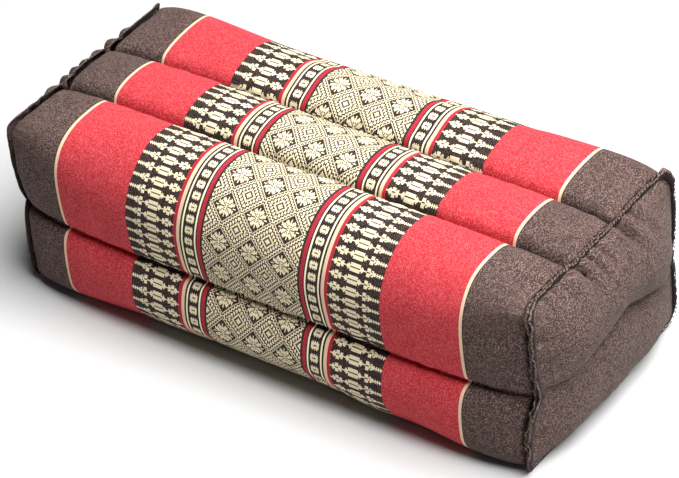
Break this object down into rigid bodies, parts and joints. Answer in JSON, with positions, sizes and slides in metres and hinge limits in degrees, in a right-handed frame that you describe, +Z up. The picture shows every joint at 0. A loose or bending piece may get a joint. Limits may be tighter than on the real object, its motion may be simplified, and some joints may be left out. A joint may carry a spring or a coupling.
{
  "type": "woven block cushion",
  "caption": "Firm rectangular block cushion: striped woven cover sewn through in lengthwise channels, two plain end panels with raised overlocked seams.",
  "frame": {"origin": "on the surface that the cushion rests on, under the middle of its box", "axes": "+X along the length towards the right end panel, +Y from front to back, +Z up"},
  "size_m": [0.3532, 0.161, 0.1133],
  "materials": {
    "woven_cloth": "matt cotton: red twill, dark brown ends and figured cream on dark brown bands, all in one woven cloth",
    "plain_cloth": "matt dark brown plain weave cotton with a fine pale grain",
    "seam_cloth": "matt dark brown cotton edges bound with dark overlock thread"
  },
  "bodies": {
    "root": {"woven_cover": "woven_cloth", "end_panel_right": "plain_cloth", "end_panel_left": "plain_cloth", "end_seam_right": "seam_cloth", "end_seam_left": "seam_cloth"}
  },
  "joints": []
}
